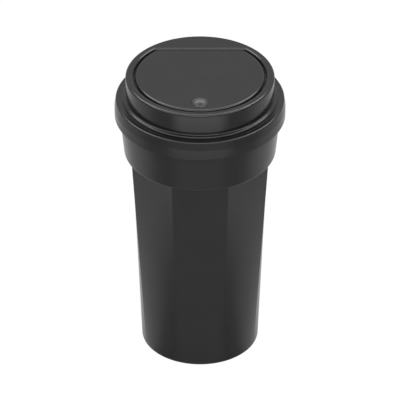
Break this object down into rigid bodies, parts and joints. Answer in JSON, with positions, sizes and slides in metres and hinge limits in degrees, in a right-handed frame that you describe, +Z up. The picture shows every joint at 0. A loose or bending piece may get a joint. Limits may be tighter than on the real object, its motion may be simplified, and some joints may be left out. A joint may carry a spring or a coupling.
{
  "type": "car trash bin",
  "caption": "Small lidded cup bin for a car: octagonal body fading to a round base, press-on lid and a flush pop-up flap with a push button.",
  "frame": {"origin": "centre of the base, on the surface that the bin stands on", "axes": "+Z up, -Y to the front, where the button is, +X to the right seen from the front"},
  "size_m": [0.0954, 0.0954, 0.177],
  "materials": {
    "black_plastic": "satin",
    "inner_plastic": "matte",
    "button_plastic": "satin",
    "soft_rubber": "matte",
    "steel": "bright"
  },
  "bodies": {
    "cup": {"cup_body": "black_plastic", "bag_ring": "inner_plastic"},
    "lid": {"lid_skirt": "black_plastic", "lid_seal": "soft_rubber", "top_ring": "black_plastic", "lid_screws": "steel", "flap_seal": "soft_rubber", "hinge_pin": "steel", "hinge_spring": "steel"},
    "flap": {"flap_panel": "black_plastic", "flap_liner": "inner_plastic", "flap_screws": "steel", "latch": "inner_plastic"},
    "button": {"button": "button_plastic"}
  },
  "joints": [
    {"name": "lid_lift", "type": "slide", "parent": "cup", "child": "lid", "axis": [0, 0, 1], "range_m": [0, 0.04]},
    {"name": "flap_hinge", "type": "hinge", "parent": "lid", "child": "flap", "pos_m": [0, 0.0311, 0.1714], "axis": [-1, 0, 0], "range_deg": [0, 90], "deforming": ["hinge_spring"]},
    {"name": "button_press", "type": "slide", "parent": "flap", "child": "button", "axis": [0, 0, -1], "range_m": [0, 0.0011], "stiffness_N_per_m": 400, "springref_m": -0.002, "deforming": ["latch"]}
  ]
}
